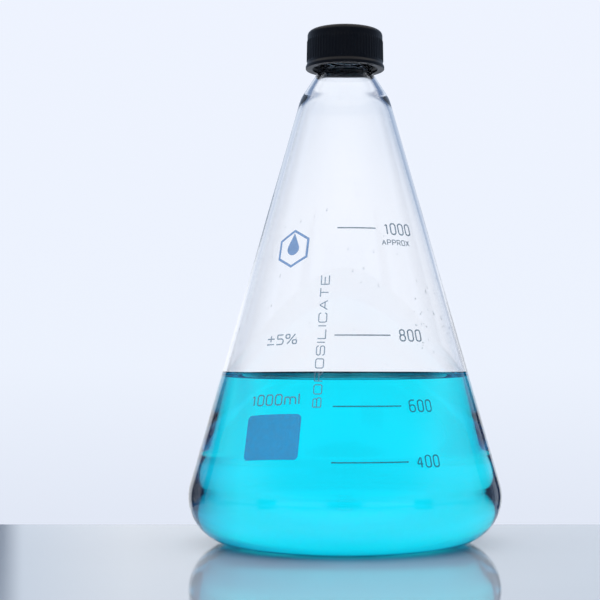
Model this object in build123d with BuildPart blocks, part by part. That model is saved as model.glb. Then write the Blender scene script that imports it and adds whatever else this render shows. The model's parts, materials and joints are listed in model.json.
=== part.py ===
from build123d import *
from math import acos, cos, degrees, pi, radians, sin, tan
import os

# Screw-capped conical laboratory flask, 1000 ml, part filled.
# Millimetres. +Z up, the origin on the standing surface under the flask's axis, -Y the printed front.

# --- sizes: flask body --------------------------------------------------------------------------
TOTAL_HEIGHT = 210.0
CONE_ANGLE = 16.0  # side wall from the axis
CONE_BASE_RADIUS = 70.47  # where the side wall's outside would meet the standing surface
WALL = 1.5
FLOOR = 2.0
PUSH_UP = 1.2  # hollow under the base
STANDING_RADIUS = 38.0  # inner edge of the flat ring that the flask stands on
HEEL_RADIUS = 19.0
SHOULDER_SLOPE = 0.64  # radius lost per millimetre of height
SHOULDER_CORNER_Z = 182.0
SHOULDER_BLEND = 15.0
NECK_RADIUS = 11.1
NECK_BLEND = 2.0
BORE_RADIUS = 8.5
SHOULDER_WALL = 2.0
RIM_Z = 206.35
RIM_ROUND = 1.2

# --- sizes: screw thread ------------------------------------------------------------------------
PITCH = 3.5
NECK_THREAD_START_Z = 197.2
NECK_THREAD_TURNS = 1.8
NECK_THREAD_CREST = 12.3
NECK_THREAD_BASE_WIDTH = 1.9
NECK_THREAD_CREST_WIDTH = 0.9
CAP_THREAD_TURNS = 1.75
CAP_THREAD_DROP = 1.35  # the cap's ridge hangs this far under the neck's ridge
CAP_THREAD_CREST = 11.65
CAP_THREAD_BASE_WIDTH = 1.3
CAP_THREAD_CREST_WIDTH = 0.6
THREAD_ROOT_OVERLAP = 0.3  # how far a ridge is sunk in its wall

# --- sizes: cap and liner -----------------------------------------------------------------------
CAP_BOTTOM_Z = 194.3
CAP_TOP_RADIUS = 15.4
CAP_SKIRT_RADIUS = 15.66  # just above the flared bead
CAP_BEAD_RADIUS = 16.2
CAP_BEAD_HEIGHT = 2.2
CAP_EDGE_ROUND = 2.2
CAP_BEAD_ROUNDS = [0.8, 0.5, 0.3]  # above, round and under the flared bead
CAP_BORE_RADIUS = 12.8
CAP_ENTRY_RADIUS = 13.4
CAP_ENTRY_DEPTH = 1.6
CAP_PLATE = 2.0
RIB_COUNT = 72
RIB_RADIUS = 0.4
RIB_RELIEF = 0.2
RIB_BOTTOM_Z = 197.2
RIB_TOP_Z = 206.2
LINER_RADIUS = 12.4
LINER_CLEARANCE = 0.05  # above the rim and under the cap's plate
LINER_FACING = 0.25
LINER_CHAMFER = 0.2

# --- sizes: liquid ------------------------------------------------------------------------------
LIQUID_LEVEL = 66.0
LIQUID_GAP = 0.02  # between the liquid and the glass

# --- sizes: fired enamel print ------------------------------------------------------------------
ENAMEL = 0.08
PRINT_BOTTOM_Z = 28.0  # the print lies on the straight side wall between these heights
PRINT_TOP_Z = 136.0
LETTER_REACH = 0.5  # how far a letter is cut in and out from its flat plane before it is trimmed
PICTURE_REACH = 2.5  # the same for the wide patch and emblem
LINE_WIDTH = 0.5
LINE_START = -4.9  # degrees round from the front, the same for every line
LINE_END = {400: 23.3, 600: 23.0, 800: 21.9, 1000: 20.2}
NUMERAL_START = 26.5
NUMERAL_HEIGHT = 5.0
APPROX_DROP = 6.6  # from the top line down to the word's baseline
SCALE_SHORTFALL = 14  # millilitres by which the approximate scale's lines sit low
LEFT_GROUP_TILT = 3.0  # the marks left of the front rise to the right
LETTER_SPACE = 0.17  # between letters, for each unit of letter height
WIDE_SPACE = 0.3
PATCH_AROUND, PATCH_Z = -29.0, 45.5
PATCH_WIDTH, PATCH_HEIGHT, PATCH_CORNER = 23.5, 17.6, 1.8
EMBLEM_AROUND, EMBLEM_Z = -33.5, 118.0
HEXAGON_RADIUS, HEXAGON_LINE = 7.9, 1.1
DROP_RADIUS, DROP_TIP, DROP_CENTRE_DOWN = 2.7, 6.4, 1.5

# --- worked out from the above ------------------------------------------------------------------
TAPER = tan(radians(CONE_ANGLE))
WALL_ACROSS = WALL / cos(radians(CONE_ANGLE))
SHOULDER_LEAN = (1 + SHOULDER_SLOPE**2) ** 0.5


def cone_radius(height):
    """Radius of the side wall's outside at a height."""
    return CONE_BASE_RADIUS - TAPER * height


def cone_height(radius, inset=0.0):
    """Height at which the side wall, set in by an amount, has a radius."""
    return (CONE_BASE_RADIUS - inset - radius) / TAPER


SHOULDER_CORNER_RADIUS = cone_radius(SHOULDER_CORNER_Z)
NECK_FOOT_Z = SHOULDER_CORNER_Z + (SHOULDER_CORNER_RADIUS - NECK_RADIUS) / SHOULDER_SLOPE
SHOULDER_INSET = SHOULDER_WALL * SHOULDER_LEAN
INNER_NECK_FOOT_Z = SHOULDER_CORNER_Z + (
    SHOULDER_CORNER_RADIUS - SHOULDER_INSET - BORE_RADIUS
) / SHOULDER_SLOPE
INNER_SHOULDER_Z = SHOULDER_CORNER_Z - (SHOULDER_INSET - WALL_ACROSS) / (SHOULDER_SLOPE - TAPER)
INNER_SHOULDER_RADIUS = cone_radius(INNER_SHOULDER_Z) - WALL_ACROSS


def cavity_outline(gap=0.0):
    """The inside of the flask up to the mouth, as one chain from the floor's middle upward."""
    shrink = gap / cos(radians(CONE_ANGLE))
    floor_z = FLOOR + gap
    TangentArc((0, floor_z + PUSH_UP), (STANDING_RADIUS, floor_z), tangent=(1, 0))
    FilletPolyline(
        (STANDING_RADIUS, floor_z),
        (cone_radius(floor_z) - WALL_ACROSS - shrink, floor_z),
        (INNER_SHOULDER_RADIUS - shrink, INNER_SHOULDER_Z),
        (BORE_RADIUS - gap, INNER_NECK_FOOT_Z),
        (BORE_RADIUS - gap, RIM_Z),
        radius=[HEEL_RADIUS - WALL, SHOULDER_BLEND, NECK_BLEND],
    )


def thread_ridge(start_z, turns, root, crest, base_width, crest_width):
    """A right-handed screw ridge: its section stands on the +X side and is swept up a helix."""
    depth = crest - root
    flank = (base_width - crest_width) / 2 / abs(depth)
    sunk_radius = root - depth / abs(depth) * THREAD_ROOT_OVERLAP
    sunk_half_width = base_width / 2 + flank * THREAD_ROOT_OVERLAP
    with BuildLine(mode=Mode.PRIVATE) as helix:
        Helix(PITCH, PITCH * turns, root, center=(0, 0, start_z))
    with BuildSketch(Plane.XZ) as section:
        with BuildLine():
            Polyline(
                (sunk_radius, start_z - sunk_half_width),
                (crest, start_z - crest_width / 2),
                (crest, start_z + crest_width / 2),
                (sunk_radius, start_z + sunk_half_width),
                close=True,
            )
        make_face()
    sweep(section.sketch, path=helix.line, is_frenet=True)


# --- flask body ---------------------------------------------------------------------------------
with BuildPart() as flask_body:
    with BuildSketch(Plane.XZ):
        with BuildLine():
            TangentArc((0, PUSH_UP), (STANDING_RADIUS, 0), tangent=(1, 0))
            FilletPolyline(
                (STANDING_RADIUS, 0),
                (CONE_BASE_RADIUS, 0),
                (SHOULDER_CORNER_RADIUS, SHOULDER_CORNER_Z),
                (NECK_RADIUS, NECK_FOOT_Z),
                (NECK_RADIUS, RIM_Z),
                (BORE_RADIUS, RIM_Z),
                (BORE_RADIUS, RIM_Z - 2 * RIM_ROUND),
                radius=[HEEL_RADIUS, SHOULDER_BLEND, NECK_BLEND, RIM_ROUND, RIM_ROUND],
            )
            Polyline((BORE_RADIUS, RIM_Z - 2 * RIM_ROUND), (0, RIM_Z - 2 * RIM_ROUND), (0, PUSH_UP))
        make_face()
    revolve(axis=Axis.Z)
    with BuildSketch(Plane.XZ):
        with BuildLine():
            cavity_outline()
            Polyline((BORE_RADIUS, RIM_Z), (0, RIM_Z), (0, FLOOR + PUSH_UP))
        make_face()
    revolve(axis=Axis.Z, mode=Mode.SUBTRACT)
    thread_ridge(
        NECK_THREAD_START_Z,
        NECK_THREAD_TURNS,
        NECK_RADIUS,
        NECK_THREAD_CREST,
        NECK_THREAD_BASE_WIDTH,
        NECK_THREAD_CREST_WIDTH,
    )
flask_body.part.label = "flask_body"

# --- liquid -------------------------------------------------------------------------------------
with BuildPart() as liquid:
    with BuildSketch(Plane.XZ):
        with BuildLine():
            cavity_outline(LIQUID_GAP)
            Polyline(
                (BORE_RADIUS - LIQUID_GAP, RIM_Z),
                (0, RIM_Z),
                (0, FLOOR + LIQUID_GAP + PUSH_UP),
            )
        make_face()
    revolve(axis=Axis.Z)
    split(bisect_by=Plane.XY.offset(LIQUID_LEVEL), keep=Keep.BOTTOM)
liquid.part.label = "liquid"

# --- cap ----------------------------------------------------------------------------------------
CAP_DRAFT = degrees((CAP_SKIRT_RADIUS - CAP_TOP_RADIUS) / (TOTAL_HEIGHT - CAP_BOTTOM_Z))
RIB_MIDDLE_Z = (RIB_BOTTOM_Z + RIB_TOP_Z) / 2
RIB_AXIS_RADIUS = (
    CAP_SKIRT_RADIUS
    - (RIB_MIDDLE_Z - CAP_BOTTOM_Z) * tan(radians(CAP_DRAFT))
    - RIB_RADIUS
    + RIB_RELIEF
)
with BuildPart() as cap_shell:
    with BuildSketch(Plane.XZ):
        with BuildLine():
            FilletPolyline(
                (0, TOTAL_HEIGHT),
                (CAP_TOP_RADIUS, TOTAL_HEIGHT),
                (CAP_SKIRT_RADIUS, CAP_BOTTOM_Z + CAP_BEAD_HEIGHT),
                (CAP_BEAD_RADIUS, CAP_BOTTOM_Z + CAP_BEAD_HEIGHT / 2),
                (CAP_BEAD_RADIUS, CAP_BOTTOM_Z),
                (CAP_ENTRY_RADIUS, CAP_BOTTOM_Z),
                radius=[CAP_EDGE_ROUND] + CAP_BEAD_ROUNDS,
            )
            Polyline(
                (CAP_ENTRY_RADIUS, CAP_BOTTOM_Z),
                (CAP_ENTRY_RADIUS, CAP_BOTTOM_Z + CAP_ENTRY_DEPTH / 2),
                (CAP_BORE_RADIUS, CAP_BOTTOM_Z + CAP_ENTRY_DEPTH),
                (CAP_BORE_RADIUS, TOTAL_HEIGHT - CAP_PLATE),
                (0, TOTAL_HEIGHT - CAP_PLATE),
                (0, TOTAL_HEIGHT),
            )
        make_face()
    revolve(axis=Axis.Z)
    with PolarLocations(RIB_AXIS_RADIUS, RIB_COUNT):
        with Locations(Location((0, 0, RIB_MIDDLE_Z), (0, -CAP_DRAFT, 0))):
            Cylinder(RIB_RADIUS, RIB_TOP_Z - RIB_BOTTOM_Z)
    thread_ridge(
        NECK_THREAD_START_Z - CAP_THREAD_DROP,
        CAP_THREAD_TURNS,
        CAP_BORE_RADIUS,
        CAP_THREAD_CREST,
        CAP_THREAD_BASE_WIDTH,
        CAP_THREAD_CREST_WIDTH,
    )
cap_shell.part.label = "cap_shell"

# --- two-layer liner ----------------------------------------------------------------------------
LINER_BOTTOM_Z = RIM_Z + LINER_CLEARANCE
LINER_TOP_Z = TOTAL_HEIGHT - CAP_PLATE - LINER_CLEARANCE
with BuildPart() as liner_facing:
    with BuildSketch(Plane.XY.offset(LINER_BOTTOM_Z)):
        Circle(LINER_RADIUS)
    extrude(amount=LINER_FACING)
liner_facing.part.label = "liner_facing"

with BuildPart() as liner_backing:
    with BuildSketch(Plane.XY.offset(LINER_BOTTOM_Z + LINER_FACING)):
        Circle(LINER_RADIUS)
    extrude(amount=LINER_TOP_Z - LINER_BOTTOM_Z - LINER_FACING)
    chamfer(liner_backing.edges().group_by(Axis.Z)[-1], length=LINER_CHAMFER)
liner_backing.part.label = "liner_backing"

# --- enamel layer that every printed mark is cut from -------------------------------------------
with BuildPart() as enamel_layer:
    with BuildSketch(Plane.XZ):
        outward = ENAMEL / cos(radians(CONE_ANGLE))
        with BuildLine():
            Polyline(
                (cone_radius(PRINT_BOTTOM_Z), PRINT_BOTTOM_Z),
                (cone_radius(PRINT_BOTTOM_Z) + outward, PRINT_BOTTOM_Z),
                (cone_radius(PRINT_TOP_Z) + outward, PRINT_TOP_Z),
                (cone_radius(PRINT_TOP_Z), PRINT_TOP_Z),
                close=True,
            )
        make_face()
    revolve(axis=Axis.Z)


def side_plane(around, height, turn=0.0):
    """Plane touching the side wall `around` degrees from the front, its X along the lettering."""
    angle = radians(around)
    radius = cone_radius(height)
    lean = radians(CONE_ANGLE)
    across = Vector(cos(angle), sin(angle), 0)
    outward = Vector(cos(lean) * sin(angle), -cos(lean) * cos(angle), sin(lean))
    up = outward.cross(across)
    return Plane(
        origin=(radius * sin(angle), -radius * cos(angle), height),
        x_dir=across * cos(radians(turn)) + up * sin(radians(turn)),
        z_dir=outward,
    )


# Pen strokes of the stencil letters, in a box one wide and one high: corner radius, whether the
# stroke closes on itself, and its corners. The pen's middle follows them. A sharp corner is as
# tight as the pen can turn.
ROUND, SMALL, SHARP = 0.235, 0.13, 0.0
PEN_TURN = 0.55
BOWL = [(0, 0.53), (1, 0.53), (1, 0), (0, 0)]
STROKES = {
    "0": [(ROUND, True, [(0, 0), (0, 1), (1, 1), (1, 0)])],
    "1": [(SHARP, False, [(0.1, 0.76), (0.7, 1), (0.7, 0)])],
    "4": [(SHARP, False, [(0.76, 0), (0.76, 1), (0, 0.3), (1, 0.3)])],
    "5": [
        (SHARP, False, [(0.95, 1), (0.1, 1), (0.1, 0.58)]),
        (ROUND, False, [(0.1, 0.58), (1, 0.58), (1, 0), (0, 0)]),
    ],
    "6": [
        (ROUND, True, [(0, 0), (0, 0.58), (1, 0.58), (1, 0)]),
        (ROUND, False, [(0, 0.3), (0, 1), (0.95, 1)]),
    ],
    "8": [
        (ROUND, True, [(0, 0), (0, 0.53), (1, 0.53), (1, 0)]),
        (0.2, True, [(0.07, 0.53), (0.07, 1), (0.93, 1), (0.93, 0.53)]),
    ],
    "A": [
        (SHARP, False, [(0, 0), (0.5, 1), (1, 0)]),
        (SHARP, False, [(0.17, 0.33), (0.83, 0.33)]),
    ],
    "B": [
        (SHARP, False, [(0, 0), (0, 1)]),
        (0.2, False, [(0, 1), (0.9, 1), (0.9, 0.53), (0, 0.53)]),
        (ROUND, False, BOWL),
    ],
    "C": [(ROUND, False, [(1, 0.74), (1, 1), (0, 1), (0, 0), (1, 0), (1, 0.26)])],
    "E": [
        (SHARP, False, [(1, 1), (0, 1), (0, 0), (1, 0)]),
        (SHARP, False, [(0, 0.53), (0.85, 0.53)]),
    ],
    "I": [(SHARP, False, [(0.5, 0), (0.5, 1)])],
    "L": [(SHARP, False, [(0, 1), (0, 0), (1, 0)])],
    "O": [(ROUND, True, [(0, 0), (0, 1), (1, 1), (1, 0)])],
    "P": [
        (SHARP, False, [(0, 0), (0, 1)]),
        (ROUND, False, [(0, 1), (1, 1), (1, 0.47), (0, 0.47)]),
    ],
    "R": [
        (SHARP, False, [(0, 0), (0, 1)]),
        (ROUND, False, [(0, 1), (1, 1), (1, 0.47), (0, 0.47)]),
        (SHARP, False, [(0.5, 0.47), (1, 0)]),
    ],
    "S": [(ROUND, False, [(1, 0.74), (1, 1), (0, 1), (0, 0.52), (1, 0.52), (1, 0), (0, 0), (0, 0.26)])],
    "T": [
        (SHARP, False, [(0, 1), (1, 1)]),
        (SHARP, False, [(0.5, 1), (0.5, 0)]),
    ],
    "X": [
        (SHARP, False, [(0, 0), (1, 1)]),
        (SHARP, False, [(0, 1), (1, 0)]),
    ],
    "m": [
        (SHARP, False, [(0, 0), (0, 0.7)]),
        (ROUND, False, [(0, 0.7), (0.5, 0.7), (0.5, 0)]),
        (ROUND, False, [(0.5, 0.7), (1, 0.7), (1, 0)]),
    ],
    "l": [(SHARP, False, [(0.5, 0), (0.5, 1)])],
    "±": [
        (SHARP, False, [(0, 0.62), (1, 0.62)]),
        (SHARP, False, [(0.5, 0.3), (0.5, 0.94)]),
        (SHARP, False, [(0, 0.04), (1, 0.04)]),
    ],
    "%": [
        (SMALL, True, [(0, 0.6), (0, 1), (0.36, 1), (0.36, 0.6)]),
        (SHARP, False, [(0.15, 0), (0.85, 1)]),
        (SMALL, True, [(0.64, 0), (0.64, 0.4), (1, 0.4), (1, 0)]),
    ],
}
# Widths beside that of an ordinary letter. A letter of width 0 is as wide as the pen.
LETTER_WIDTHS = {"1": 0.6, "I": 0, "l": 0, "m": 1.5, "%": 1.5, "±": 1.1}


def lettering(text, around, height, size, pen, letter_width, turn=0.0, space=LETTER_SPACE):
    """Letters wrapped on the side wall from a start point, each cut square to its own bit of wall."""
    run = 0.0
    for letter in text:
        width = max(pen, size * letter_width * LETTER_WIDTHS.get(letter, 1.0))
        along = run + width / 2
        level = height + along * sin(radians(turn)) * cos(radians(CONE_ANGLE))
        swing = degrees(along * cos(radians(turn)) / cone_radius(level))
        with BuildSketch(side_plane(around + swing, level, turn)) as stencil:
            for radius, closed, corners in STROKES[letter]:
                points = [((x - 0.5) * (width - pen), y * (size - pen) + pen / 2) for x, y in corners]
                with BuildLine():
                    if len(points) == 2:
                        Line(*points)
                    else:
                        corner = max(radius * (size - pen), PEN_TURN * pen)
                        FilletPolyline(*points, radius=corner, close=closed)
                trace(line_width=pen)
        extrude(stencil.sketch, amount=LETTER_REACH, both=True)
        run += width + size * space


# --- volume scale -------------------------------------------------------------------------------
HEEL_TOP_Z = HEEL_RADIUS + (HEEL_RADIUS - WALL) * sin(radians(CONE_ANGLE))
with BuildPart() as heel_room:
    with BuildSketch(Plane.XZ):
        with BuildLine():
            cavity_outline()
            Polyline((BORE_RADIUS, RIM_Z), (0, RIM_Z), (0, FLOOR + PUSH_UP))
        make_face()
    revolve(axis=Axis.Z)
    split(bisect_by=Plane.XY.offset(HEEL_TOP_Z), keep=Keep.BOTTOM)


def level_of(millilitres):
    """Height of the liquid's surface in the conical part that holds a volume."""
    heel_radius = cone_radius(HEEL_TOP_Z) - WALL_ACROSS
    above_heel = millilitres * 1000 - heel_room.part.volume
    radius = (heel_radius**3 - 3 * TAPER * above_heel / pi) ** (1 / 3)
    return cone_height(radius, WALL_ACROSS)


os.makedirs("parts", exist_ok=True)
for millilitres, line_end in LINE_END.items():
    line_z = level_of(millilitres - SCALE_SHORTFALL)

    with BuildPart() as graduation_line:
        with BuildSketch(Plane.XY.offset(line_z - LINE_WIDTH / 2)):
            reach = 2 * CONE_BASE_RADIUS
            start, end = radians(LINE_START), radians(line_end)
            with BuildLine():
                Polyline(
                    (0, 0),
                    (reach * sin(start), -reach * cos(start)),
                    (reach * sin(end), -reach * cos(end)),
                    close=True,
                )
            make_face()
        extrude(amount=LINE_WIDTH)
        add(enamel_layer.part, mode=Mode.INTERSECT)
    graduation_line.part.label = f"graduation_line_{millilitres}"
    export_step(graduation_line.part, f"parts/graduation_line_{millilitres}.step")

    with BuildPart() as numeral:
        baseline_z = line_z - NUMERAL_HEIGHT / 2 * cos(radians(CONE_ANGLE))
        lettering(
            str(millilitres), NUMERAL_START, baseline_z, NUMERAL_HEIGHT, pen=0.55, letter_width=0.58
        )
        add(enamel_layer.part, mode=Mode.INTERSECT)
    numeral.part.label = f"numeral_{millilitres}"
    export_step(numeral.part, f"parts/numeral_{millilitres}.step")

approx_z = level_of(1000 - SCALE_SHORTFALL) - APPROX_DROP
with BuildPart() as approx_word:
    lettering("APPROX", around=23.5, height=approx_z, size=2.4, pen=0.34, letter_width=0.78)
    add(enamel_layer.part, mode=Mode.INTERSECT)
approx_word.part.label = "approx_word"

# --- marks left of the front --------------------------------------------------------------------
with BuildPart() as capacity_mark:
    lettering(
        "1000ml", around=-41.4, height=56.6, size=4.6, pen=0.6, letter_width=0.73, turn=LEFT_GROUP_TILT
    )
    add(enamel_layer.part, mode=Mode.INTERSECT)
capacity_mark.part.label = "capacity_mark"

with BuildPart() as tolerance_mark:
    lettering(
        "±5%", around=-39.5, height=79.9, size=4.3, pen=0.5, letter_width=0.8, turn=LEFT_GROUP_TILT
    )
    add(enamel_layer.part, mode=Mode.INTERSECT)
tolerance_mark.part.label = "tolerance_mark"

with BuildPart() as material_word:
    lettering(
        "BOROSILICATE",
        around=-9.5,
        height=56.6,
        size=3.5,
        pen=0.42,
        letter_width=1.15,
        turn=89.0,
        space=WIDE_SPACE,
    )
    add(enamel_layer.part, mode=Mode.INTERSECT)
material_word.part.label = "material_word"

with BuildPart() as marking_patch:
    with BuildSketch(side_plane(PATCH_AROUND, PATCH_Z, LEFT_GROUP_TILT)):
        RectangleRounded(PATCH_WIDTH, PATCH_HEIGHT, PATCH_CORNER)
    extrude(amount=PICTURE_REACH, both=True)
    add(enamel_layer.part, mode=Mode.INTERSECT)
marking_patch.part.label = "marking_patch"

with BuildPart() as drop_emblem:
    with BuildSketch(side_plane(EMBLEM_AROUND, EMBLEM_Z, LEFT_GROUP_TILT)):
        RegularPolygon(HEXAGON_RADIUS, 6, rotation=30)
        RegularPolygon(HEXAGON_RADIUS - HEXAGON_LINE, 6, rotation=30, mode=Mode.SUBTRACT)
        with Locations((0, -DROP_CENTRE_DOWN)):
            with BuildLine():
                tangent_angle = degrees(acos(DROP_RADIUS / DROP_TIP))
                drop_round = CenterArc(
                    (0, 0), DROP_RADIUS, 90 + tangent_angle, 360 - 2 * tangent_angle
                )
                Polyline(drop_round @ 1, (0, DROP_TIP), drop_round @ 0)
            make_face()
    extrude(amount=PICTURE_REACH, both=True)
    add(enamel_layer.part, mode=Mode.INTERSECT)
drop_emblem.part.label = "drop_emblem"

# --- files --------------------------------------------------------------------------------------
export_step(flask_body.part, "parts/flask_body.step")
export_step(liquid.part, "parts/liquid.step")
export_step(cap_shell.part, "parts/cap_shell.step")
export_step(liner_facing.part, "parts/liner_facing.step")
export_step(liner_backing.part, "parts/liner_backing.step")
export_step(approx_word.part, "parts/approx_word.step")
export_step(capacity_mark.part, "parts/capacity_mark.step")
export_step(tolerance_mark.part, "parts/tolerance_mark.step")
export_step(material_word.part, "parts/material_word.step")
export_step(marking_patch.part, "parts/marking_patch.step")
export_step(drop_emblem.part, "parts/drop_emblem.step")

for name, piece in (("glass", flask_body), ("liquid", liquid), ("cap", cap_shell)):
    print(name, "ml:", round(piece.part.volume / 1000, 1))
print("line heights:", {ml: round(level_of(ml - SCALE_SHORTFALL), 1) for ml in LINE_END})
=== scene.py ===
"""Screw-capped conical flask, part filled with blue liquid: finished surfaces, light and camera.

Metres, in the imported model's frame: +Z up, the origin on the standing surface under the flask's
axis, -Y the printed front. Lengths below are written in millimetres and multiplied by MM.
"""

import json
import math
import random

import bmesh
import bpy
from mathutils import Matrix, Vector


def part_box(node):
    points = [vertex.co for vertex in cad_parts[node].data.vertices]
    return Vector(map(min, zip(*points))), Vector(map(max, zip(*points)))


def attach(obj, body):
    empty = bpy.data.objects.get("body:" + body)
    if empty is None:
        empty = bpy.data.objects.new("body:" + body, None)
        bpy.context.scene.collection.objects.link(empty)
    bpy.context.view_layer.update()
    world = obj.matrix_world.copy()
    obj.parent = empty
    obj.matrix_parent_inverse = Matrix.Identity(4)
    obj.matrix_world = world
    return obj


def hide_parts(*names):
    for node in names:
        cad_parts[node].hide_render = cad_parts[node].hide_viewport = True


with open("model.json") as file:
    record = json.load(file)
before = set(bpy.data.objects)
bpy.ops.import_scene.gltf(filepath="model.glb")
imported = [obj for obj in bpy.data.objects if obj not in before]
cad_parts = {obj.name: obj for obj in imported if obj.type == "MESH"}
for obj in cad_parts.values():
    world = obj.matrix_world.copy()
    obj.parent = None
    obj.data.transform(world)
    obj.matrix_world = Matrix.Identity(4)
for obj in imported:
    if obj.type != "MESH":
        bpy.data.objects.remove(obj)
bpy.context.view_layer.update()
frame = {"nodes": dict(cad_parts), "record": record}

MM = 0.001

# --- glass, as in the CAD part ------------------------------------------------------------------
CONE_ANGLE = math.radians(16.0)
CONE_BASE_RADIUS = 70.47
WALL = 1.5
FLOOR = 2.0
PUSH_UP = 1.2
STANDING_RADIUS = 38.0
HEEL_RADIUS = 19.0
SHOULDER_SLOPE = 0.64
SHOULDER_CORNER_Z = 182.0
SHOULDER_BLEND = 15.0
SHOULDER_WALL = 2.0
NECK_RADIUS = 11.1
NECK_BLEND = 2.0
BORE_RADIUS = 8.5
PLAIN_NECK = 1.6  # from the foot of the neck up to the finer mesh that carries the thread
RIM_ROUND = 1.2
LIP_DEPTH = 1.4  # from the rim down to where the lip's outline meets the bore's
RIM_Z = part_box("flask_body")[1].z / MM
UNEVENNESS = 0.05  # greatest depth of the waves that blowing leaves, on the inside only

# --- screw thread -------------------------------------------------------------------------------
PITCH = 3.5
NECK_THREAD = {"start": 197.2, "turns": 1.8, "depth": 1.2, "base": 1.9, "crest": 0.9}
CAP_THREAD = {"start": 195.85, "turns": 1.75, "depth": -1.15, "base": 1.3, "crest": 0.6}
THREAD_RUN_OUT = 0.09  # turns over which a ridge rises and dies away

# --- cap ----------------------------------------------------------------------------------------
CAP_TOP_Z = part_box("cap_shell")[1].z / MM
CAP_BOTTOM_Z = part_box("cap_shell")[0].z / MM
CAP_BEAD_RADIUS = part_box("cap_shell")[1].x / MM
CAP_TOP_RADIUS = 15.4
CAP_SKIRT_RADIUS = 15.66
CAP_BEAD_HEIGHT = 2.2
CAP_BORE_RADIUS = 12.8
CAP_ENTRY_RADIUS = 13.4
CAP_PLATE = 2.0
RIB_COUNT = 72
RIB_RELIEF = 0.2
RIB_WIDTH = 0.72
RIB_BOTTOM_Z = 197.2
RIB_TOP_Z = 206.2

# --- liquid -------------------------------------------------------------------------------------
LIQUID_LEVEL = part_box("liquid")[1].z / MM
LIQUID_OVERLAP = 0.15  # the liquid's skin lies this deep in the glass, so that no air is between
MENISCUS_RISE = 3.7
CAPILLARY_LENGTH = 2.7

# --- mesh fineness ------------------------------------------------------------------------------
SEGMENTS = 288
CAP_SEGMENTS = RIB_COUNT * 8
RUN_STEP = 2.4  # longest straight piece of an outline
ARC_STEP = math.radians(4.5)
THREAD_STEP = 0.16

TAPER = math.tan(CONE_ANGLE)
WALL_ACROSS = WALL / math.cos(CONE_ANGLE)


def cone_radius(height):
    """Radius of the side wall's outside at a height, in millimetres."""
    return CONE_BASE_RADIUS - TAPER * height


def smooth(share):
    """0 to 1 with no corner at either end."""
    share = min(1.0, max(0.0, share))
    return share * share * (3 - 2 * share)


# --- outlines -----------------------------------------------------------------------------------
def straight(start, end, step):
    """Points after the start and up to the end, no further apart than a step."""
    count = max(1, math.ceil((Vector(end) - Vector(start)).length / step))
    return [tuple(Vector(start).lerp(Vector(end), i / count)) for i in range(1, count + 1)]


def rounded(corners, radii, step=RUN_STEP):
    """Outline through the corners, each inner corner turned by a tangent arc of its radius."""
    points = [corners[0]]
    for before, corner, after, radius in zip(corners, corners[1:], corners[2:], radii):
        corner = Vector(corner)
        way_in = (corner - Vector(before)).normalized()
        way_out = (Vector(after) - corner).normalized()
        turn = way_in.angle_signed(way_out)
        reach = radius * math.tan(abs(turn) / 2)
        side = Vector((way_in.y, -way_in.x)) * math.copysign(radius, turn)
        centre = corner - way_in * reach + side
        count = max(2, math.ceil(abs(turn) / ARC_STEP))
        points += straight(points[-1], centre - side, step)
        for i in range(1, count + 1):
            swung = Matrix.Rotation(-turn * i / count, 2) @ -side
            points.append(tuple(centre + swung))
    return points + straight(points[-1], corners[-1], step)


def pushed_up_base(edge_z):
    """The shallow dome of the base, from the axis to the standing ring."""
    dome_radius = (STANDING_RADIUS**2 + PUSH_UP**2) / (2 * PUSH_UP)
    points = []
    for i in range(13):
        radius = STANDING_RADIUS * i / 12
        sag = dome_radius - math.sqrt(dome_radius**2 - radius**2)
        points.append((radius, edge_z + PUSH_UP - sag))
    return points


SHOULDER_INSET = SHOULDER_WALL * math.hypot(1, SHOULDER_SLOPE)
SHOULDER_RADIUS = cone_radius(SHOULDER_CORNER_Z)
NECK_FOOT_Z = SHOULDER_CORNER_Z + (SHOULDER_RADIUS - NECK_RADIUS) / SHOULDER_SLOPE
INNER_FOOT_Z = (
    SHOULDER_CORNER_Z + (SHOULDER_RADIUS - SHOULDER_INSET - BORE_RADIUS) / SHOULDER_SLOPE
)
INNER_SHOULDER_Z = SHOULDER_CORNER_Z - (SHOULDER_INSET - WALL_ACROSS) / (SHOULDER_SLOPE - TAPER)


def outside_outline():
    """Outside of the glass, from the middle of the base to the inner edge of the lip."""
    foot_and_wall = rounded(
        [
            (STANDING_RADIUS, 0),
            (CONE_BASE_RADIUS, 0),
            (SHOULDER_RADIUS, SHOULDER_CORNER_Z),
            (NECK_RADIUS, NECK_FOOT_Z),
            (NECK_RADIUS, NECK_FOOT_Z + PLAIN_NECK),
        ],
        [HEEL_RADIUS, SHOULDER_BLEND, NECK_BLEND],
    )
    threaded = straight(foot_and_wall[-1], (NECK_RADIUS, RIM_Z - RIM_ROUND - 0.1), THREAD_STEP)
    lip = rounded(
        [
            threaded[-1],
            (NECK_RADIUS, RIM_Z),
            (BORE_RADIUS, RIM_Z),
            (BORE_RADIUS, RIM_Z - LIP_DEPTH),
        ],
        [RIM_ROUND, RIM_ROUND],
    )
    return pushed_up_base(0)[:-1] + foot_and_wall + threaded + lip[1:]


def cavity_outline(grown=0.0):
    """Inside of the glass, from the middle of the floor to the mouth, grown into the glass."""
    across = grown / math.cos(CONE_ANGLE)
    floor_z = FLOOR - grown
    return pushed_up_base(floor_z)[:-1] + rounded(
        [
            (STANDING_RADIUS, floor_z),
            (cone_radius(floor_z) - WALL_ACROSS + across, floor_z),
            (cone_radius(INNER_SHOULDER_Z) - WALL_ACROSS + across, INNER_SHOULDER_Z),
            (BORE_RADIUS + grown, INNER_FOOT_Z),
            (BORE_RADIUS + grown, RIM_Z - LIP_DEPTH),
        ],
        [HEEL_RADIUS - WALL, SHOULDER_BLEND, NECK_BLEND],
    )


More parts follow.
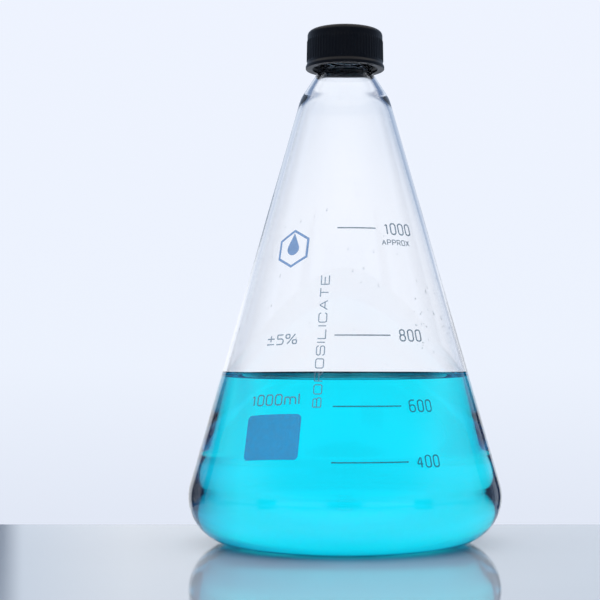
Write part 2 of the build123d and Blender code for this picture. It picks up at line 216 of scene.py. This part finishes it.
# --- mesh work ----------------------------------------------------------------------------------
def add_object(name, made):
    """The object of a finished bmesh, linked to the scene."""
    mesh = bpy.data.meshes.new(name)
    made.to_mesh(mesh)
    made.free()
    piece = bpy.data.objects.new(name, mesh)
    bpy.context.scene.collection.objects.link(piece)
    return piece


def ridge(thread, angle, z):
    """How far a screw ridge moves the wall out at an angle from +X and a height."""
    out = 0.0
    for lap in range(math.ceil(thread["turns"]) + 1):
        turns = angle / (2 * math.pi) + lap
        ends = smooth(turns / THREAD_RUN_OUT) * smooth((thread["turns"] - turns) / THREAD_RUN_OUT)
        off_crest = abs(z - thread["start"] - PITCH * turns)
        flank = (thread["base"] - thread["crest"]) / 2
        out += thread["depth"] * ends * smooth((thread["base"] / 2 - off_crest) / flank)
    return out


def lathe(name, outline, segments, reshape=None):
    """Closed mesh turned from an outline that starts and ends on the axis."""
    made = bmesh.new()
    rings = []
    for index, (radius, z) in enumerate(outline):
        if radius < 1e-6:
            rings.append([made.verts.new((0, 0, z * MM))])
            continue
        ring = []
        for step in range(segments):
            angle = 2 * math.pi * step / segments
            out, up = reshape(index, radius, z, angle) if reshape else (radius, z)
            spot = (out * math.cos(angle) * MM, out * math.sin(angle) * MM, up * MM)
            ring.append(made.verts.new(spot))
        rings.append(ring)
    for ring, following in zip(rings, rings[1:]):
        for step in range(segments):
            nxt = (step + 1) % segments
            if len(ring) == 1:
                made.faces.new((ring[0], following[nxt], following[step]))
            elif len(following) == 1:
                made.faces.new((ring[step], ring[nxt], following[0]))
            else:
                made.faces.new((ring[step], ring[nxt], following[nxt], following[step]))
    bmesh.ops.recalc_face_normals(made, faces=made.faces)
    piece = add_object(name, made)
    piece.data.shade_smooth()
    return piece


def blown_unevenness(angle, z):
    """Slow waves in a blown wall, as a part of its greatest depth."""
    waves = (
        math.sin(2 * angle + 0.031 * z + 0.7)
        + 0.6 * math.sin(3 * angle - 0.052 * z + 2.1)
        + 0.4 * math.sin(5 * angle + 0.083 * z + 4.0)
    )
    return waves / 2


def make_glass():
    """The whole blown body: base, heel, cone, shoulder, threaded neck and fire-polished lip."""
    outside, inside = outside_outline(), cavity_outline()
    first_inside = len(outside)
    thread_low = NECK_THREAD["start"] - NECK_THREAD["base"]

    def reshape(index, radius, z, angle):
        if index >= first_inside:
            fade = smooth((radius - BORE_RADIUS) / 6) * smooth((z - FLOOR) / 12)
            return radius + UNEVENNESS * fade * blown_unevenness(angle, z), z
        if z > thread_low and radius > NECK_RADIUS - 0.01:
            return radius + ridge(NECK_THREAD, angle, z), z
        return radius, z

    return lathe("flask_glass", outside + inside[::-1], SEGMENTS, reshape)


def meniscus(contact_radius):
    """The liquid's skin from the wall to the axis, climbing the wall as capillarity makes it."""
    points = []

    def run(rise):
        share = rise / CAPILLARY_LENGTH
        return CAPILLARY_LENGTH * (math.acosh(2 / share) - math.sqrt(4 - share * share))

    for i in range(22):
        rise = MENISCUS_RISE * 0.78**i
        points.append((contact_radius - run(rise) + run(MENISCUS_RISE), LIQUID_LEVEL + rise))
    edge = points[-1][0]
    level = [(edge * (1 - i / 14), LIQUID_LEVEL) for i in range(1, 15)]
    return points + level


def make_liquid():
    """The blue liquid, which wets the whole inside of the glass up to the meniscus."""
    contact_z = LIQUID_LEVEL + MENISCUS_RISE
    wetted = [p for p in cavity_outline(LIQUID_OVERLAP) if p[1] < contact_z - 0.3]
    contact = cone_radius(contact_z) - WALL_ACROSS + LIQUID_OVERLAP / math.cos(CONE_ANGLE)
    return lathe("blue_liquid", wetted + meniscus(contact), SEGMENTS)


def make_cap():
    """The moulded cap: ribbed skirt, flared bead, internal thread and a gate mark on top."""
    bead_top = CAP_BOTTOM_Z + CAP_BEAD_HEIGHT
    top = [(0, CAP_TOP_Z - 0.32), (0.7, CAP_TOP_Z - 0.3), (1.15, CAP_TOP_Z - 0.08)]
    skirt = rounded(
        [
            (1.15, CAP_TOP_Z - 0.08),
            (13.0, CAP_TOP_Z),
            (CAP_TOP_RADIUS, CAP_TOP_Z),
            (CAP_SKIRT_RADIUS, bead_top),
            (CAP_BEAD_RADIUS, bead_top - CAP_BEAD_HEIGHT / 2),
            (CAP_BEAD_RADIUS, CAP_BOTTOM_Z),
            (CAP_ENTRY_RADIUS, CAP_BOTTOM_Z),
            (CAP_ENTRY_RADIUS, CAP_BOTTOM_Z + 0.8),
            (CAP_BORE_RADIUS, CAP_BOTTOM_Z + 1.6),
        ],
        [0.5, 2.0, 0.8, 0.5, 0.3, 0.2, 0.3],
        step=0.5,
    )
    bore = straight(skirt[-1], (CAP_BORE_RADIUS, CAP_TOP_Z - CAP_PLATE - 0.4), THREAD_STEP * 1.5)
    ceiling = rounded(
        [bore[-1], (CAP_BORE_RADIUS, CAP_TOP_Z - CAP_PLATE), (0, CAP_TOP_Z - CAP_PLATE)],
        [0.3],
    )
    first_inside = len(top) + len(skirt) - 4

    def reshape(index, radius, z, angle):
        if index >= first_inside:
            if abs(radius - CAP_BORE_RADIUS) < 0.01:
                return radius + ridge(CAP_THREAD, angle, z), z
            return radius, z
        ends = smooth((z - RIB_BOTTOM_Z) / 0.5) * smooth((RIB_TOP_Z - z) / 0.5)
        if ends == 0 or radius < CAP_TOP_RADIUS - 1:
            return radius, z
        gap = 2 * math.pi / RIB_COUNT
        off_rib = abs((angle + gap / 2) % gap - gap / 2) * radius
        return radius + RIB_RELIEF * ends * smooth(1 - off_rib / (RIB_WIDTH / 2)), z

    return lathe("ribbed_cap", top + skirt[1:] + bore + ceiling[1:], CAP_SEGMENTS, reshape)


# --- print --------------------------------------------------------------------------------------
PRINT_GRAIN = 0.7  # longest edge of a printed mark's mesh
PRINT_TOP = 0.06  # how far the enamel stands proud of the glass
PRINT_ROOT = -0.03  # how deep it is fused in
PRINT_MIDDLE = 0.035  # height over the glass that tells a mark's outer face from its inner one
FLAT_ENOUGH = math.radians(0.5)  # turn between two faces that may be merged before the new mesh
PALE_MARKS = ("capacity_mark", "tolerance_mark", "material_word")


def make_print(node):
    """A printed mark as a fine skin that follows the round of the glass without dipping in it."""
    made = bmesh.new()
    made.from_mesh(frame["nodes"][node].data)
    bmesh.ops.remove_doubles(made, verts=made.verts, dist=1e-7)
    bmesh.ops.dissolve_limit(
        made, angle_limit=FLAT_ENOUGH, verts=made.verts, edges=made.edges
    )
    bmesh.ops.triangulate(made, faces=made.faces)
    for _ in range(7):
        long_edges = [e for e in made.edges if e.calc_length() > PRINT_GRAIN * MM]
        if not long_edges:
            break
        bmesh.ops.subdivide_edges(made, edges=long_edges, cuts=1)
        bmesh.ops.triangulate(made, faces=made.faces)
    for vert in made.verts:
        here = math.hypot(vert.co.x, vert.co.y)
        wall = cone_radius(vert.co.z / MM) * MM
        proud = PRINT_TOP if here - wall > PRINT_MIDDLE * MM else PRINT_ROOT
        stretch = (wall + proud / math.cos(CONE_ANGLE) * MM) / here
        vert.co.x *= stretch
        vert.co.y *= stretch
    piece = add_object(node + "_enamel", made)
    piece.data.shade_flat()
    return piece


# --- drops on the inside ------------------------------------------------------------------------
# Where drops cling: degrees from the front, heights, how many, and the largest half width.
DROP_FIELDS = [
    ((38, 74), (74, 108), 26, 0.42),
    ((-78, -62), (71, 88), 9, 0.3),
    ((-30, 34), (72, 150), 9, 0.22),
    ((100, 250), (72, 140), 26, 0.4),
]
DROP_SEED = 11
DROP_LIFT = 0.04  # how far a drop's middle lies out in the wall
DROP_HEIGHT = 0.45  # how far a drop stands off the wall, as a part of its half width


def make_drops():
    """Drops and short runs of liquid left on the inside of the wall by swirling."""
    pick = random.Random(DROP_SEED)
    made = bmesh.new()
    for around, heights, count, widest in DROP_FIELDS:
        for _ in range(count):
            angle = math.radians(pick.uniform(*around))
            z = pick.uniform(*heights)
            half = widest * pick.uniform(0.45, 1.0)
            long = half * pick.choice((1.0, 1.2, 1.6, 2.6))
            radius = cone_radius(z) - WALL_ACROSS + DROP_LIFT
            drop = bmesh.ops.create_icosphere(made, subdivisions=3, radius=1.0)["verts"]
            out = Vector((math.sin(angle), -math.cos(angle), 0)) * math.cos(CONE_ANGLE)
            out.z = math.sin(CONE_ANGLE)
            across = Vector((math.cos(angle), math.sin(angle), 0))
            along = out.cross(across)
            spot = Vector((radius * math.sin(angle), -radius * math.cos(angle), z))
            for vert in drop:
                x, y, depth = vert.co
                pear = 1 - 0.25 * y
                moved = across * x * half * pear + along * y * long
                moved += out * depth * half * DROP_HEIGHT
                vert.co = (spot + moved) * MM
    piece = add_object("clinging_drops", made)
    piece.data.shade_smooth()
    return piece


# --- materials ----------------------------------------------------------------------------------
def add_node(tree, kind, inputs=None, **settings):
    """A node with its settings and its sockets' values or links."""
    made = tree.nodes.new(kind)
    for name, value in settings.items():
        setattr(made, name, value)
    for name, value in (inputs or {}).items():
        if isinstance(value, bpy.types.NodeSocket):
            tree.links.new(value, made.inputs[name])
        else:
            made.inputs[name].default_value = value
    return made


def spread(tree, value, low, high, **settings):
    """A value as a share of the way from low to high, held to 0 and 1 outside them."""
    ends = {"Value": value, "From Min": low, "From Max": high}
    return add_node(tree, "ShaderNodeMapRange", ends, **settings).outputs["Result"]


def blended(tree, share, first, second):
    """The first colour giving way to the second as the share goes from 0 to 1."""
    mix = add_node(tree, "ShaderNodeMix", {0: share, 6: first, 7: second}, data_type="RGBA")
    return mix.outputs[2]


def add_ramp(tree, factor, stops):
    """A colour ramp: stops are (place, grey or colour)."""
    made = tree.nodes.new("ShaderNodeValToRGB")
    tree.links.new(factor, made.inputs["Fac"])
    points = made.color_ramp.elements
    for place, colour in stops[2:]:
        points.new(place)
    for point, (place, colour) in zip(points, sorted(stops, key=lambda s: s[0])):
        point.position = place
        point.color = (*colour, 1) if isinstance(colour, tuple) else (colour,) * 3 + (1,)
    return made.outputs["Color"]


def new_material(name):
    """A material with a Principled surface; returns it, its tree, shader and object coordinates."""
    material = bpy.data.materials.new(name)
    material.use_nodes = True
    tree = material.node_tree
    shader = tree.nodes["Principled BSDF"]
    place = add_node(tree, "ShaderNodeTexCoord").outputs["Object"]
    return material, tree, shader, place


def noise(tree, place, scale, detail=2.0, rough=0.5):
    """Noise of a scale per metre."""
    values = {"Vector": place, "Scale": scale, "Detail": detail, "Roughness": rough}
    return add_node(tree, "ShaderNodeTexNoise", values).outputs["Fac"]


def bump(tree, shader, height, strength, distance):
    """Bump of a strength, with a full height of a distance in millimetres."""
    made = add_node(
        tree, "ShaderNodeBump", {"Height": height, "Strength": strength, "Distance": distance * MM}
    )
    tree.links.new(made.outputs["Normal"], shader.inputs["Normal"])


def absorb(tree, colour, density):
    """Light lost on the way through: the colour is what is kept, the density is per metre."""
    made = add_node(tree, "ShaderNodeVolumeAbsorption", {"Color": (*colour, 1), "Density": density})
    tree.links.new(made.outputs["Volume"], tree.nodes["Material Output"].inputs["Volume"])


def glass_material():
    """Clear borosilicate with the faint waves and handling haze of blown laboratory ware."""
    material, tree, shader, place = new_material("borosilicate_glass")
    haze = add_ramp(tree, noise(tree, place, 90), [(0.6, 0.0), (0.85, 0.0015)])
    tree.links.new(haze, shader.inputs["Roughness"])
    cast = [(0.3, (0.985, 0.992, 1.0)), (0.7, (1.0, 1.0, 1.0))]
    tint = add_ramp(tree, noise(tree, place, 25), cast)
    tree.links.new(tint, shader.inputs["Base Color"])
    shader.inputs["Transmission Weight"].default_value = 1.0
    shader.inputs["IOR"].default_value = 1.473
    bump(tree, shader, noise(tree, place, 45, 1.0), 0.015, 0.6)
    absorb(tree, (0.42, 0.62, 0.92), 11.0)
    return material


def liquid_material(name="dyed_liquid", density=75.0):
    """Water dyed a clear cyan blue."""
    material, tree, shader, place = new_material(name)
    still = add_ramp(tree, noise(tree, place, 30), [(0.3, 0.0), (0.7, 0.001)])
    tree.links.new(still, shader.inputs["Roughness"])
    shader.inputs["Base Color"].default_value = (1, 1, 1, 1)
    shader.inputs["Transmission Weight"].default_value = 1.0
    shader.inputs["IOR"].default_value = 1.333
    absorb(tree, (0.0, 0.978, 0.9985), density)
    return material


def cap_material():
    """Black moulded phenolic: near-black with a soft satin skin and fine moulding grain."""
    material, tree, shader, place = new_material("black_moulded_plastic")
    black = [(0.3, (0.0035, 0.0035, 0.0045)), (0.7, (0.007, 0.0068, 0.0075))]
    colour = add_ramp(tree, noise(tree, place, 900, 4.0, 0.6), black)
    tree.links.new(colour, shader.inputs["Base Color"])
    wear = add_ramp(tree, noise(tree, place, 160, 3.0), [(0.3, 0.3), (0.75, 0.46)])
    tree.links.new(wear, shader.inputs["Roughness"])
    shader.inputs["Specular IOR Level"].default_value = 0.22
    bump(tree, shader, noise(tree, place, 3500, 2.0), 0.25, 0.03)
    return material


def enamel_material(name, light, dark, seen_through, cover):
    """Fired screen-print enamel: a thin glassy film that tints what is behind it, a little uneven.

    The cover is the part of the light that the pigment stops at each of the film's two faces, and
    the rest passes in the colour seen_through.
    """
    material, tree, shader, place = new_material(name)
    thin = noise(tree, place, 700, 3.0, 0.6)
    colour = add_ramp(tree, thin, [(0.32, dark), (0.68, light)])
    tree.links.new(colour, shader.inputs["Base Color"])
    finish = add_ramp(tree, noise(tree, place, 1500, 2.0), [(0.3, 0.35), (0.7, 0.55)])
    tree.links.new(finish, shader.inputs["Roughness"])
    bump(tree, shader, noise(tree, place, 4000, 2.0), 0.3, 0.02)
    clear = add_node(tree, "ShaderNodeBsdfTransparent", {"Color": (*seen_through, 1)})
    amount = add_ramp(tree, thin, [(0.3, cover - 0.06), (0.7, cover + 0.06)])
    mix = add_node(tree, "ShaderNodeMixShader", {0: amount})
    tree.links.new(clear.outputs["BSDF"], mix.inputs[1])
    tree.links.new(shader.outputs["BSDF"], mix.inputs[2])
    tree.links.new(mix.outputs["Shader"], tree.nodes["Material Output"].inputs["Surface"])
    return material


def soft_material(name, light, dark, rough, grain):
    """Opaque matt stock such as rubber or film, with a cloudy colour and a fine grain."""
    material, tree, shader, place = new_material(name)
    colour = add_ramp(tree, noise(tree, place, 260, 4.0, 0.6), [(0.3, dark), (0.7, light)])
    tree.links.new(colour, shader.inputs["Base Color"])
    finish = add_ramp(tree, noise(tree, place, 800), [(0.3, rough - 0.08), (0.7, rough + 0.08)])
    tree.links.new(finish, shader.inputs["Roughness"])
    bump(tree, shader, noise(tree, place, grain, 2.0), 0.3, 0.03)
    return material


def floor_material():
    """Pale glossy acrylic plate."""
    material, tree, shader, place = new_material("pale_acrylic")
    pale = [(0.3, (0.54, 0.62, 0.69)), (0.7, (0.57, 0.65, 0.72))]
    colour = add_ramp(tree, noise(tree, place, 6), pale)
    tree.links.new(colour, shader.inputs["Base Color"])
    finish = add_ramp(tree, noise(tree, place, 12), [(0.3, 0.03), (0.7, 0.05)])
    tree.links.new(finish, shader.inputs["Roughness"])
    shader.inputs["IOR"].default_value = 1.5
    return material


def give(piece, material):
    """One material all over a piece or a CAD node."""
    piece.data.materials.clear()
    piece.data.materials.append(material)


# --- the pieces ---------------------------------------------------------------------------------
def place_pieces():
    """Every piece, riding on its body; each CAD node that a piece takes the place of is hidden."""
    glass, liquid, cap, drops = make_glass(), make_liquid(), make_cap(), make_drops()
    for piece, body, node, slot, material in (
        (glass, "flask", "flask_body", "clear_glass", glass_material()),
        (liquid, "flask", "liquid", "blue_liquid", liquid_material()),
        (cap, "cap", "cap_shell", "black_plastic", cap_material()),
        (drops, "flask", None, "blue_liquid", liquid_material("thin_drops", 8.0)),
    ):
        give(piece, material)
        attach(piece, body)
        if node:
            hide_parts(node)
    greyish, bluish = (0.75, 0.85, 0.92), (0.62, 0.78, 0.97)
    grey = enamel_material("grey_enamel", (0.10, 0.12, 0.15), (0.07, 0.09, 0.11), greyish, 0.42)
    slate = enamel_material("slate_enamel", (0.29, 0.35, 0.51), (0.24, 0.30, 0.45), bluish, 0.28)
    pale = enamel_material("pale_enamel", (0.42, 0.47, 0.52), (0.35, 0.40, 0.45), greyish, 0.42)
    slots = {row["node"]: row["material_slot"] for row in frame["record"]["subparts"]}
    for node, slot in slots.items():
        if slot in ("fired_enamel", "marking_enamel"):
            mark = make_print(node)
            give(mark, slate if slot == "marking_enamel" else pale if node in PALE_MARKS else grey)
            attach(mark, "flask")
            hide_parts(node)
    rubber = soft_material("liner_rubber", (0.55, 0.54, 0.50), (0.47, 0.46, 0.43), 0.75, 2600)
    film = soft_material("liner_film", (0.86, 0.86, 0.83), (0.80, 0.80, 0.77), 0.38, 1800)
    frame["nodes"]["liner_backing"].material_slots[0].material = rubber
    frame["nodes"]["liner_facing"].material_slots[0].material = film


# --- studio -------------------------------------------------------------------------------------
FLOOR_REACH = 700  # from the middle to the plate's left, right and front edges
FLOOR_BACK = 62  # from the middle to the plate's back edge
FLOOR_THICKNESS = 8
FLOOR_EDGE = 0.8
GAP_ACROSS = (110, 260)  # a gap in the floor's twin, on each side of the flask
GAP_ALONG = (-180, -35)
TWIN_LIFT = 0.02
SHEET_AWAY = 200  # behind the flask
SHEET_HALF = 450  # half its width
SHEET_Z = (-260, 420)
SHEET_FADE_Z = (120, 170)  # where the sheet's bright lower part gives way to its even top
CAMERA_LENS = 83.4
CAMERA_SHIFT = (-0.075, 0.111)
CAMERA_PLACE = (0, -573, 72)
RAY_KINDS = ("camera", "diffuse", "glossy", "transmission", "volume_scatter", "shadow")


def show_only_to(piece, kind):
    """Leave a studio piece visible to one kind of ray."""
    for ray in RAY_KINDS:
        setattr(piece, "visible_" + ray, ray == kind)


def make_floor():
    """The pale plate that the flask stands on. Rays that come through the glass pass it by."""
    made = bmesh.new()
    bmesh.ops.create_cube(made, size=1.0)
    for vert in made.verts:
        vert.co.x = math.copysign(FLOOR_REACH * MM, vert.co.x)
        vert.co.y = (-FLOOR_REACH if vert.co.y < 0 else FLOOR_BACK) * MM
        vert.co.z = (-FLOOR_THICKNESS if vert.co.z < 0 else 0) * MM
    bmesh.ops.bevel(
        made, geom=made.edges[:], offset=FLOOR_EDGE * MM, segments=3, affect="EDGES"
    )
    plate = add_object("studio_floor", made)
    give(plate, floor_material())
    plate.visible_transmission = False
    make_floor_twin(plate.data.materials[0])


def make_floor_twin(material):
    """The floor for rays that come through the glass. Its two gaps keep the rims dark."""
    made = bmesh.new()
    inner, outer = GAP_ACROSS
    across = (1 - FLOOR_REACH, -outer, -inner, inner, outer, FLOOR_REACH - 1)
    along = (1 - FLOOR_REACH, *GAP_ALONG, FLOOR_BACK - 1)
    for column, (x0, x1) in enumerate(zip(across, across[1:])):
        for line, (y0, y1) in enumerate(zip(along, along[1:])):
            if line == 1 and column in (1, 3):
                continue
            corners = ((x0, y0), (x1, y0), (x1, y1), (x0, y1))
            verts = [made.verts.new((x * MM, y * MM, TWIN_LIFT * MM)) for x, y in corners]
            made.faces.new(verts)
    through = add_object("floor_seen_through", made)
    give(through, material)
    for ray in ("camera", "glossy", "diffuse", "shadow"):
        setattr(through, "visible_" + ray, False)


def shade(level):
    """Studio light at a level from 0 to 1: the dimmer, the bluer."""
    return (0.97 * level**1.25, level, 1.07 * level**0.7)


def make_world():
    """Studio round the flask, which differs by the kind of ray that meets it.

    The camera sees an even pale backdrop. What the glass and the liquid bend is a bright backdrop
    with dark flags beside it, made of rings one above the other, each with its own levels round the
    compass. What they and the floor mirror is a dim room with a bright ceiling.
    """
    world = bpy.data.worlds.new("studio")
    bpy.context.scene.world = world
    world.use_nodes = True
    tree = world.node_tree
    tree.nodes.clear()
    where = add_node(tree, "ShaderNodeTexCoord").outputs["Generated"]
    part = add_node(tree, "ShaderNodeSeparateXYZ", {"Vector": where}).outputs
    sides = {0: part["X"], 1: part["Y"]}
    bearing = add_node(tree, "ShaderNodeMath", sides, operation="ARCTAN2").outputs[0]
    share = spread(tree, bearing, -math.pi, math.pi)

    def ring(*stops):
        """Light round the compass: stops are (degrees from +Y towards +X, level)."""
        return add_ramp(tree, share, [(turn / 360 + 0.5, shade(level)) for turn, level in stops])

    def above(lower, upper, start, end):
        """The lower ring, giving way to the upper one between two elevations in degrees."""
        low, high = (math.sin(math.radians(degrees)) for degrees in (start, end))
        rise = spread(tree, part["Z"], low, high, interpolation_type="SMOOTHSTEP")
        return blended(tree, rise, lower, upper)

    under = ring((-180, 0.66), (-48, 0.66), (-36, 0.06), (36, 0.06), (48, 0.66), (180, 0.66))
    low = ring((-180, 0.66), (-48, 0.66), (-36, 0.05), (36, 0.05), (48, 0.66), (180, 0.66))
    slant = ring(
        (-180, 0.66), (-130.5, 0.66), (-128.5, 0.03), (-118, 0.03), (-114, 0.6), (-78, 0.66),
        (-68, 0.05), (-61, 0.02), (-57, 0.95), (37, 1.0), (46, 0.85), (54, 0.7),
        (59, 0.02), (66, 0.05), (78, 0.66), (114, 0.6), (118, 0.03), (128.5, 0.03),
        (130.5, 0.66), (180, 0.66),
    )
    level = ring(
        (-180, 0.05), (-170, 0.05), (-164, 0.55), (-130.5, 0.62), (-128.5, 0.02), (-116, 0.02),
        (-112, 0.6), (-80, 0.66), (-64, 0.02), (-50.5, 0.02), (-48, 0.85), (-44, 1.0),
        (-30, 1.03), (20, 1.03), (31, 0.78), (38, 0.58), (43.5, 0.45), (45.5, 0.03),
        (60, 0.02), (76, 0.62), (112, 0.6), (116, 0.02), (128.5, 0.02), (130.5, 0.62),
        (164, 0.55), (170, 0.05), (180, 0.05),
    )
    high = ring(
        (-180, 0.2), (-150, 0.3), (-110, 0.6), (-70, 0.55), (-56, 0.03), (-47, 0.03),
        (-40, 0.65), (-20, 0.87), (-8, 0.92), (4, 0.92), (14, 0.74), (24, 0.56),
        (38, 0.42), (44, 0.3), (52, 0.05), (58, 0.03), (70, 0.55), (110, 0.6),
        (150, 0.3), (180, 0.2),
    )
    upper = ring(
        (-180, 0.16), (-60, 0.25), (-30, 0.22), (0, 0.4), (14, 0.14), (30, 0.2), (60, 0.25),
        (180, 0.16),
    )
    top = ring((-180, 1.25), (180, 1.25))
    bent = above(under, low, -42, -37)
    bent = above(bent, slant, -29, -26)
    bent = above(bent, level, -19, -16)
    bent = above(bent, high, 6, 14)
    bent = above(bent, upper, 19, 26)
    bent = above(bent, top, 34, 48)
    room = ring(
        (-180, 0.13), (-110, 0.2), (-70, 0.3), (-50, 0.6), (50, 0.6), (70, 0.3), (110, 0.2),
        (180, 0.13),
    )
    mirrored = above(room, top, 34, 48)
    backdrop = add_ramp(
        tree,
        spread(tree, part["Z"], -0.3, 0.3),
        [
            (0.0, (0.66, 0.72, 0.82)),
            (0.33, (0.76, 0.81, 0.92)),
            (0.5, (0.84, 0.89, 0.99)),
            (1.0, (0.86, 0.90, 1.0)),
        ],
    )
    ray = add_node(tree, "ShaderNodeLightPath").outputs
    kinds = {0: ray["Is Glossy Ray"], 1: ray["Is Transmission Ray"]}
    mirror = add_node(tree, "ShaderNodeMath", kinds, operation="SUBTRACT").outputs[0]
    mirror = add_node(tree, "ShaderNodeMath", {0: mirror, 1: 0.0}, operation="MAXIMUM").outputs[0]
    seen = blended(tree, mirror, bent, mirrored)
    shown = blended(tree, ray["Is Camera Ray"], seen, backdrop)
    light = add_node(tree, "ShaderNodeBackground", {"Color": shown, "Strength": 1.0})
    out = add_node(tree, "ShaderNodeOutputWorld")
    tree.links.new(light.outputs["Background"], out.inputs["Surface"])


def make_light_sheet():
    """Upright sheet of light behind the flask, which only mirrored rays meet."""
    made = bmesh.new()
    low, high = SHEET_Z
    corners = ((-SHEET_HALF, low), (SHEET_HALF, low), (SHEET_HALF, high), (-SHEET_HALF, high))
    made.faces.new([made.verts.new((x * MM, SHEET_AWAY * MM, z * MM)) for x, z in corners])
    panel = add_object("light_mirrored", made)
    material = bpy.data.materials.new("light_mirrored_glow")
    material.use_nodes = True
    tree = material.node_tree
    tree.nodes.clear()
    place = add_node(tree, "ShaderNodeTexCoord").outputs["Object"]
    part = add_node(tree, "ShaderNodeSeparateXYZ", {"Vector": place}).outputs
    share = spread(tree, part["X"], -SHEET_HALF * MM, SHEET_HALF * MM)

    def row(*stops):
        """Light from side to side: stops are (millimetres to the right of the middle, level)."""
        wide = 2 * SHEET_HALF
        colours = [((x + SHEET_HALF) / wide, shade(level)) for x, level in stops]
        return add_ramp(tree, share, colours)

    main = row(
        (-450, 0.1), (-300, 0.15), (-210, 0.03), (-192, 0.03), (-180, 0.8), (-120, 1.0),
        (146, 0.85), (153, 0.03), (190, 0.03), (197, 0.5), (235, 0.45), (260, 0.25),
        (450, 0.2),
    )
    even = row((-450, 0.35), (0, 0.5), (450, 0.4))
    rise = spread(tree, part["Z"], SHEET_FADE_Z[0] * MM, SHEET_FADE_Z[1] * MM)
    light = blended(tree, rise, main, even)
    glow = add_node(tree, "ShaderNodeEmission", {"Color": light, "Strength": 1.0})
    out = add_node(tree, "ShaderNodeOutputMaterial")
    tree.links.new(glow.outputs["Emission"], out.inputs["Surface"])
    give(panel, material)
    show_only_to(panel, "glossy")


def make_camera():
    """A level view from the front, about half a metre away."""
    data = bpy.data.cameras.new("camera")
    data.sensor_width, data.lens = 36.0, CAMERA_LENS
    data.shift_x, data.shift_y = CAMERA_SHIFT
    data.clip_start, data.clip_end = 0.01, 20.0
    camera = bpy.data.objects.new("camera", data)
    camera.location = [value * MM for value in CAMERA_PLACE]
    camera.rotation_euler = (math.radians(90), 0, 0)
    bpy.context.scene.collection.objects.link(camera)
    bpy.context.scene.camera = camera


place_pieces()
make_floor()
make_world()
make_light_sheet()
make_camera()

scene = bpy.context.scene
scene.view_settings.view_transform = "Standard"
scene.cycles.max_bounces = 24
scene.cycles.transmission_bounces = 24
scene.cycles.glossy_bounces = 8
